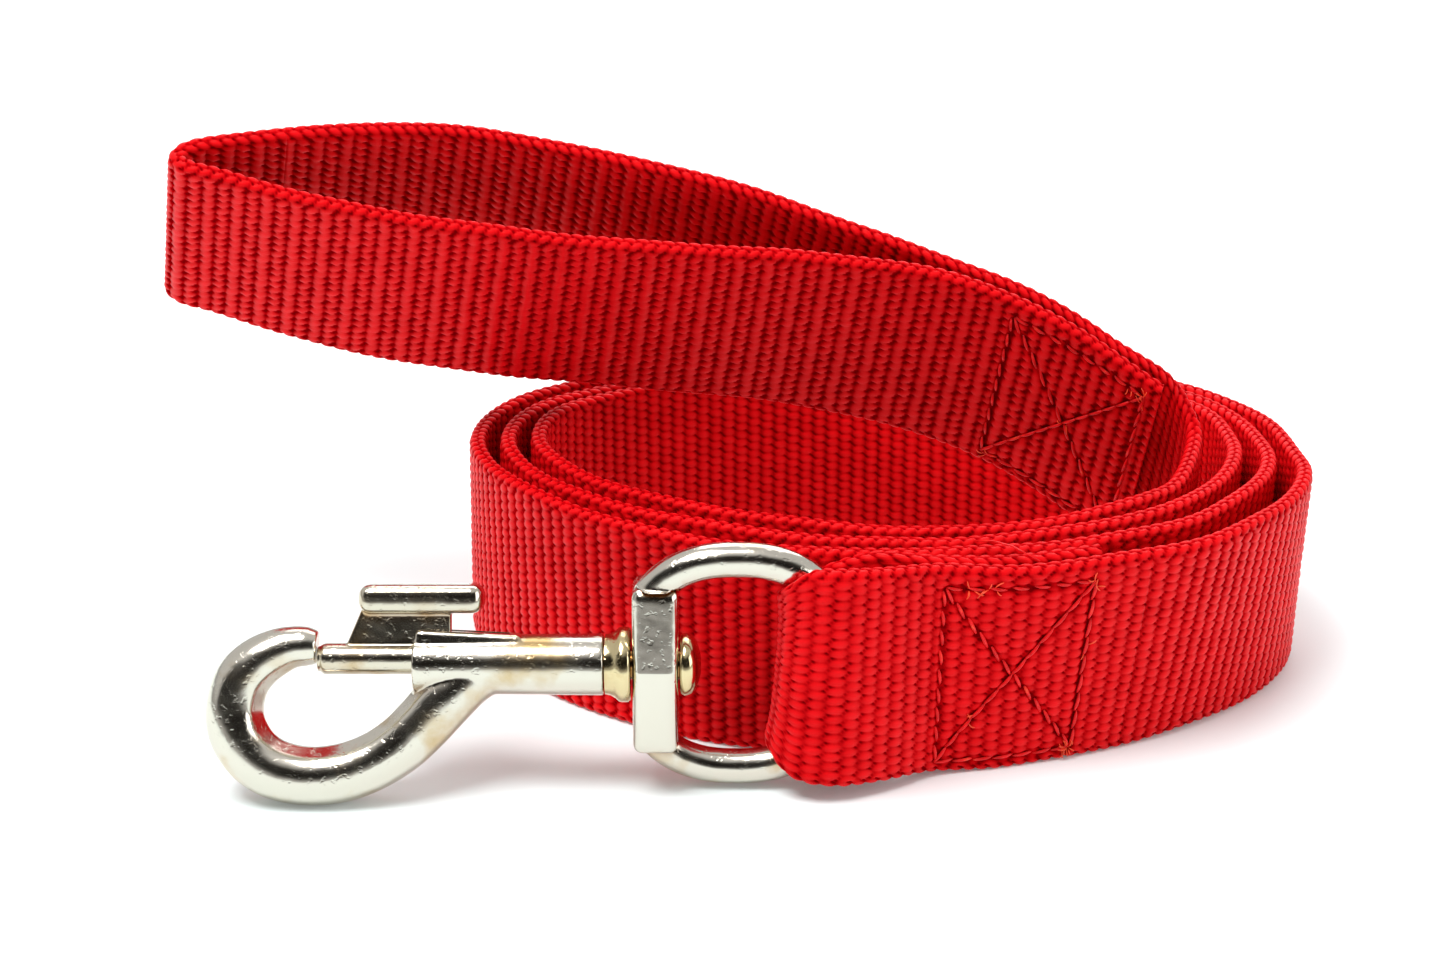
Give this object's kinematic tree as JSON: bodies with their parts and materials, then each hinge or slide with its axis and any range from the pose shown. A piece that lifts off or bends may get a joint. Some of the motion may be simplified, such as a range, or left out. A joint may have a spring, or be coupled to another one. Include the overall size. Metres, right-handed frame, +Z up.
{
  "type": "training leash",
  "caption": "Flat woven nylon training leash in a loose coil, with a sewn hand loop and a swivel bolt snap in a box-stitched fold.",
  "frame": {"origin": "on the surface the leash stands on, under the middle of its bounding box", "axes": "+X along the snap's barrel from the hook to the eye, +Y from the snap across the coil, +Z up"},
  "size_m": [0.1384, 0.084, 0.0623],
  "materials": {
    "nylon_webbing": "coarse basket-woven red nylon with braided edges, slight sheen",
    "stitch_thread": "bonded red-orange polyester sewing thread",
    "nickel_plate": "bright nickel plate over a die casting, a little wavy and worn",
    "brassy_plate": "worn plate with a warm brassy tint",
    "spring_steel": "drawn spring wire"
  },
  "bodies": {
    "webbing": {"webbing_hook_end": "nylon_webbing", "webbing_outer_turn": "nylon_webbing", "webbing_second_turn": "nylon_webbing", "webbing_third_turn": "nylon_webbing", "webbing_riser": "nylon_webbing", "webbing_hand_loop_back": "nylon_webbing", "webbing_hand_loop_front": "nylon_webbing", "stitch_hook_box": "stitch_thread", "stitch_hand_box_front": "stitch_thread", "stitch_hand_box_back": "stitch_thread"},
    "eye": {"swivel_eye": "nickel_plate"},
    "snap": {"snap_body": "nickel_plate", "swivel_stud": "brassy_plate", "bolt_spring": "spring_steel"},
    "bolt": {"slide_bolt": "brassy_plate"}
  },
  "joints": [
    {"name": "eye_rock", "type": "hinge", "parent": "webbing", "child": "eye", "pos_m": [0.01247, -0.03514, 0.01415], "axis": [0, 0, 1], "range_deg": [-14, 15]},
    {"name": "hook_swivel", "type": "hinge", "parent": "eye", "child": "snap", "pos_m": [-0.01093, -0.03514, 0.0142], "axis": [1, 0, 0], "continuous": true},
    {"name": "bolt_slide", "type": "slide", "parent": "snap", "child": "bolt", "axis": [1, 0, 0], "range_m": [0, 0.006], "stiffness_N_per_m": 200, "springref_m": -0.005, "deforming": ["bolt_spring"]}
  ]
}
